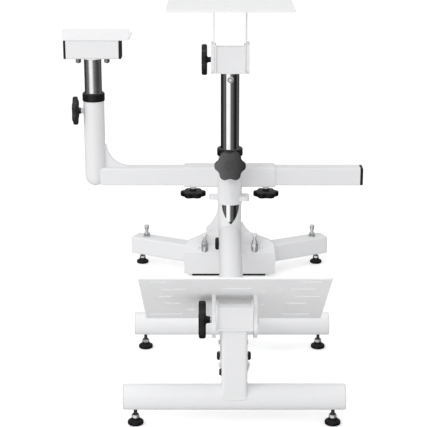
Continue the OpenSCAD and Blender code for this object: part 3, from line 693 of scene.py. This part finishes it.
# bolt on the left side of the pedal upright
UPRIGHT_HEAD = [(0.5, 27.05), (8.5, 27.05), (8.5, 28.4), (6.6, 28.7), (6.5, 31.2),
                (5.6, 32.0), (3.4, 32.0), (3.2, 30.0), (0.5, 30.0)]
add = fitter("upright_bolt_", "stand", shift(0, -980, LONG_TUBE_Z) @ TO_LEFT)
add("left", lathe(UPRIGHT_HEAD, 35), BLACK_STEEL, slot="black_steel")
add("shank", shank(4, 15, 29), BLACK_STEEL, slot="black_steel")

# neck bolt of the chrome column: a shank with a washer, head and end piece on both sides
NECK_WASHER = [(0.5, 23.2), (8.8, 23.2), (8.8, 26.9), (8.4, 27.4), (0.5, 27.4)]
NECK_HEAD = [(0.5, 27.42), (6.6, 27.42), (6.6, 31.2), (6.1, 32.0), (4.3, 32.2), (4.1, 30.6),
             (0.5, 30.4)]
NECK_END = [(0.5, 30.6), (3.7, 30.6), (3.7, 31.7), (3.3, 32.2), (1.4, 32.3), (1.2, 31.4),
            (0.5, 31.3)]
neck = shift(0, 0, 559.0)
place("neck_bolt_shank", shank(4, -32, 32), ZINC, "column", neck @ TO_FRONT,
      node="neck_bolt")
for side, direction in (("front", TO_FRONT), ("back", TO_BACK)):
    add = fitter("neck_", "column", neck @ direction)
    # washer and end piece take the near-white zinc as a painted highlight, the head the
    # darker zinc as painted shade
    add("washer_" + side, lathe(NECK_WASHER, 30), LIT_ZINC)
    add("head_" + side, lathe(NECK_HEAD, 30), SHADED_ZINC)
    add("end_" + side, lathe(NECK_END, 30, segments=40), LIT_ZINC)

place("slide_bush_foot", washer(28.9, 25.5, 138.0, 19.0), BLACK_NYLON, "column",
      node="column_slide_bush")


def pivot_bolt(name, body, pivot, seat, thread_end):
    """tilt joint bolt: head on the right, seat from the middle, thread on the left"""
    add_right = fitter(name, body, pivot @ TO_RIGHT)
    add_left = fitter(name, body, pivot @ TO_LEFT)
    add_right("_shank", shank(5, -45, seat + 1), node=name + "_bolt")
    add_left("_thread", thread(4.98, 45, thread_end, 1.5))
    add_left("_jam_nut", hex_nut(13, seat + 4.3, 5.2), spin=20)
    add_right("_washer", washer(9.5, 5.1, seat + 0.03, 1.45))
    add_right("_head", hex_nut(15, seat + 1.5, 6, both_ends=False), spin=10)


pivot_bolt("wheel_pivot", "wheel_plate", shift(0, 0, WHEEL_PIVOT_Z),
           seat=45.5, thread_end=69.8)
pivot_bolt("pedal_pivot", "pedal_deck", shift(0, PEDAL_Y, PEDAL_PIVOT_Z),
           seat=42.0, thread_end=66.8)

SHIFTER_HEAD = [(0.5, 55.05), (8, 55.05), (7.8, 56.2), (6.6, 57.7), (4.2, 58.5), (2.4, 58.5),
                (2.2, 57.0), (0.5, 57.0)]
for side, sign in SIDES:
    base = SHIFTER_BOLT_Z
    add = fitter("shifter_bolt_" + side, "shifter",
                 shift(SHIFTER_X + sign * 39.3, SHIFTER_Y, 0))
    add("_shank", shank(4, base - 1, base + 56), BLACK_STEEL, node="shifter_bolts")
    add("_head", lathe(SHIFTER_HEAD, 35, base=base), BLACK_STEEL, slot="black_steel")
    add("_washer", washer(8.2, 4.1, base - 1.5, 1.45))
    # the nut and tip take the darker zinc, a painted shade
    add("_nut", hex_nut(14, base - 13, 11.4), SHADED_ZINC, spin=14)
    add("_tip", thread(4.0, base - 15, base - 12.9, 1.25), SHADED_ZINC, slot="black_steel")


# -------------------------------------------------------------------- weld beads
def bead(name, path, radius, body):
    """a rippled weld bead along a closed path"""
    points = [Vector(point) for point in path]
    segments = 10
    travelled = 0.0
    rings = []
    for i, point in enumerate(points):
        if i:
            travelled += (point - points[i - 1]).length
        along = (points[(i + 1) % len(points)] - points[i - 1]).normalized()
        across = Vector((0, 0, 1)).cross(along)
        across = across.normalized() if across.length > 1e-4 else Vector((1, 0, 0))
        out = along.cross(across)
        stitch = 0.13 * math.sin(2 * PI * travelled / (radius * 1.25))
        drift = 0.06 * math.sin(2 * PI * travelled / 17.0 + 1.0)
        r = radius * (1 + stitch + drift)
        rings.append([tuple(point + across * (r * x) + out * (r * y))
                      for x, y, z in circle(1, segments)])
    place(name, bridge(rings, sharp=0, loop=True), WHITE_PAINT, body, slot="white_paint")


def rounded_rectangle(width, depth, radius, step=0.8):
    """(x, y) points around a rectangle, sides split into steps"""
    across, along = width / 2 - radius, depth / 2 - radius
    corners = []
    for x, y, start in ((across, along, 0), (-across, along, 90),
                        (-across, -along, 180), (across, -along, 270)):
        for k in range(7):
            angle = math.radians(start + 15 * k)
            corners.append((x + radius * math.cos(angle), y + radius * math.sin(angle)))
    path = []
    for i, (x0, y0) in enumerate(corners):
        x1, y1 = corners[(i + 1) % len(corners)]
        steps = max(1, int(math.hypot(x1 - x0, y1 - y0) / step))
        path += [(x0 + (x1 - x0) * k / steps, y0 + (y1 - y0) * k / steps)
                 for k in range(steps)]
    return path


def crossbar_top(y):
    """height of a bead on a round crossbar, y from the bar's axis"""
    bar_z, bead_reach, widest = 62, 27.6, 27.2
    return bar_z + math.sqrt(bead_reach ** 2 - min(abs(y), widest) ** 2)


def column_front(x):
    """y of a bead on the front of the round column"""
    return -math.sqrt(32.2 ** 2 - x ** 2) - 0.4


upright = rounded_rectangle(54.0, 54.0, 7)
saddle = rounded_rectangle(42, 38, 1.5)
SADDLE_Y = -555
tube_end = circle(30.1, 240, (0, 0, LONG_TUBE_Z), "xz")
# name, closed path, bead radius, body
BEADS = [
    ("upright_box", [(x, PEDAL_Y + y, 222.6) for x, y in upright], 1.9, "stand"),
    ("upright_bar", [(x, PEDAL_Y + y, crossbar_top(y)) for x, y in upright], 2.0, "stand"),
    ("upright_tube", circle(30.2, 230, (0, -949.6, LONG_TUBE_Z), "xz"), 1.7, "stand"),
    ("saddle", [(x, SADDLE_Y + y, crossbar_top(y)) for x, y in saddle], 1.7, "stand"),
    ("tube_column", [(x, column_front(x), z) for x, y, z in tube_end], 2.0, "stand"),
    ("neck", circle(25.9, 180, (0, 0, 575.7)), 1.5, "column"),
    ("shifter", circle(24.4, 170, (SHIFTER_X, SHIFTER_Y, 603.2)), 1.5, "shifter"),
    ("boss_main", circle(8.2, 60, (0, -30.9, 329), "xz"), 1.1, "stand"),
    ("boss_post", circle(8.2, 60, (-408.0, SHIFTER_Y, 455), "yz"), 1.1, "arm"),
]
for name, path, radius, body in BEADS:
    bead("weld_" + name, path, radius, body)

# set screw on the front of the clamp collar
SET_SCREW = [(0.5, 31), (3.8, 31), (3.8, 36.2), (3.2, 36.8), (1.9, 36.8), (1.8, 35.0),
             (0.5, 35.0)]
place("collar_set_screw", lathe(SET_SCREW, 35, segments=40), WHITE_PAINT, "stand",
      shift(4, 0, 238) @ TO_FRONT)


# ------------------------------------------------------------------------- floor
def floor_material():
    """pale floor that glows to the camera and vanishes in reflections"""
    mat = Material("floor_pale")
    rays = mat.node("ShaderNodeLightPath")
    to_camera = rays.outputs["Is Camera Ray"]
    tone = mat.remap(mat.noise(scale=3.0, detail=3.0), span=(0.3, 0.7))
    seen = mat.mix(tone, (0.955, 0.955, 0.955), (0.965, 0.965, 0.965))
    unseen = (0.90, 0.90, 0.90)
    camera_glow = 0.35
    mat.surface(Base_Color=mat.mix(to_camera, unseen, seen), Roughness=0.85,
                Specular_IOR_Level=0.0, Emission_Color=(1, 1, 1),
                Emission_Strength=mat.math("MULTIPLY", to_camera, camera_glow))
    clear = mat.node("ShaderNodeBsdfTransparent").outputs[0]
    surface = mat.mix_shaders(rays.outputs["Is Glossy Ray"], mat.principled.outputs[0], clear)
    mat.feed(mat.output.inputs[0], surface)
    return mat.material


bpy.ops.mesh.primitive_plane_add(size=80, location=(0, 0, -0.0006))
floor = bpy.context.object
floor.name = "floor"
floor.data.materials.append(floor_material())

# ------------------------------------------------------------------------- world
# reflected brightness around the horizon: (position, grey); 0 and 1 are the back (+Y),
# 0.25 the left, 0.5 the front and 0.75 the right
HORIZON = [
    (0.0, 0.03), (0.10, 0.004), (0.150, 0.005), (0.206, 0.022), (0.258, 0.08),
    (0.301, 0.14), (0.345, 0.07), (0.362, 0.12), (0.385, 1.0), (0.478, 1.0),
    (0.497, 0.80), (0.530, 0.12), (0.586, 0.11), (0.621, 0.065), (0.659, 0.020),
    (0.699, 0.011), (0.742, 0.024), (0.794, 0.105), (0.859, 0.055), (1.0, 0.12),
]


def build_world():
    """separate surroundings for diffuse, glossy and camera rays"""
    world = bpy.data.worlds.new("studio")
    bpy.context.scene.world = world
    world.use_nodes = True
    graph = Graph(world.node_tree, "ShaderNodeOutputWorld")
    rays = graph.node("ShaderNodeLightPath")
    ray = graph.node("ShaderNodeTexCoord").outputs["Generated"]
    direction = graph.node("ShaderNodeSeparateXYZ")
    graph.feed(direction.inputs[0], ray)
    x, y, z = direction.outputs

    frontward = graph.math("MULTIPLY", y, -1)
    azimuth = graph.math("ARCTAN2", x, frontward)
    around = graph.remap(azimuth, span=(-PI, PI))
    ramp = graph.node("ShaderNodeValToRGB")
    stops = ramp.color_ramp.elements
    for position, grey in HORIZON[1:-1]:
        stops.new(position)
    for stop, (position, grey) in zip(stops, HORIZON):
        stop.color = (grey, grey, grey, 1)
    graph.feed(ramp.inputs[0], around)

    # diffuse light: brighter from the left and from above
    from_side = graph.remap(x, span=(-1, 1), to=(0.80, 0.46))
    height_gain, level_strength = 0.34, 0.86
    from_above = graph.math("MULTIPLY_ADD", z, height_gain, level_strength)
    strength = graph.math("MULTIPLY", from_side, from_above)
    diffuse = graph.fed("ShaderNodeBackground", (0.985, 0.99, 1.0), strength)

    # reflections: the horizon table, giving way to a grey ceiling
    ceiling = graph.remap(z, span=(0.0, 0.12))
    reflected = graph.mix(ceiling, ramp.outputs[0], (0.54, 0.54, 0.54))
    gloss_strength, camera_strength = 1.1, 1.0
    glossy = graph.fed("ShaderNodeBackground", reflected, gloss_strength)
    camera_white = graph.fed("ShaderNodeBackground", (1, 1, 1), camera_strength)
    lighting = graph.mix_shaders(rays.outputs["Is Glossy Ray"], diffuse, glossy)
    final = graph.mix_shaders(rays.outputs["Is Camera Ray"], lighting, camera_white)
    graph.feed(graph.output.inputs[0], final)


build_world()


# ------------------------------------------------------------- lights and camera
def area_light(name, location, target, energy, size, specular):
    light = bpy.data.lights.new(name, "AREA")
    light.shape = "RECTANGLE"
    light.size, light.size_y = size
    light.energy = energy
    light.specular_factor = specular
    obj = bpy.data.objects.new(name, light)
    bpy.context.scene.collection.objects.link(obj)
    obj.location = location
    aim = Vector(target) - Vector(location)
    obj.rotation_euler = aim.to_track_quat("-Z", "Y").to_euler()


area_light("key_left", location=(-3.0, -3.0, 3.0), target=(0, -0.3, 0.4),
           energy=35, size=(1.7, 1.5), specular=0.35)
area_light("front_fill", location=(-0.9, -3.9, 2.4), target=(0, -0.2, 0.4),
           energy=14, size=(1.2, 1.2), specular=0.2)
area_light("top_soft", location=(-0.4, -0.6, 3.6), target=(0, -0.4, 0.2),
           energy=17, size=(3.0, 3.0), specular=0.1)

scene = bpy.context.scene
DOWNWARD_TILT = 16.64      # degrees below level
lens = bpy.data.cameras.new("cam")
camera = bpy.data.objects.new("cam", lens)
scene.collection.objects.link(camera)
lens.sensor_width = 36
lens.lens = 109.6018735
lens.shift_x = -0.005854801
lens.clip_end = 100
camera.location = (-0.0385, -3.5, 1.220)
camera.rotation_euler = (math.radians(90 - DOWNWARD_TILT), 0, 0)
scene.camera = camera
scene.view_settings.view_transform = "Standard"
scene.view_settings.look = "None"

# the pieces don't mirror one another
for obj in scene.objects:
    if obj.type == "MESH" and obj is not floor:
        obj.visible_glossy = False
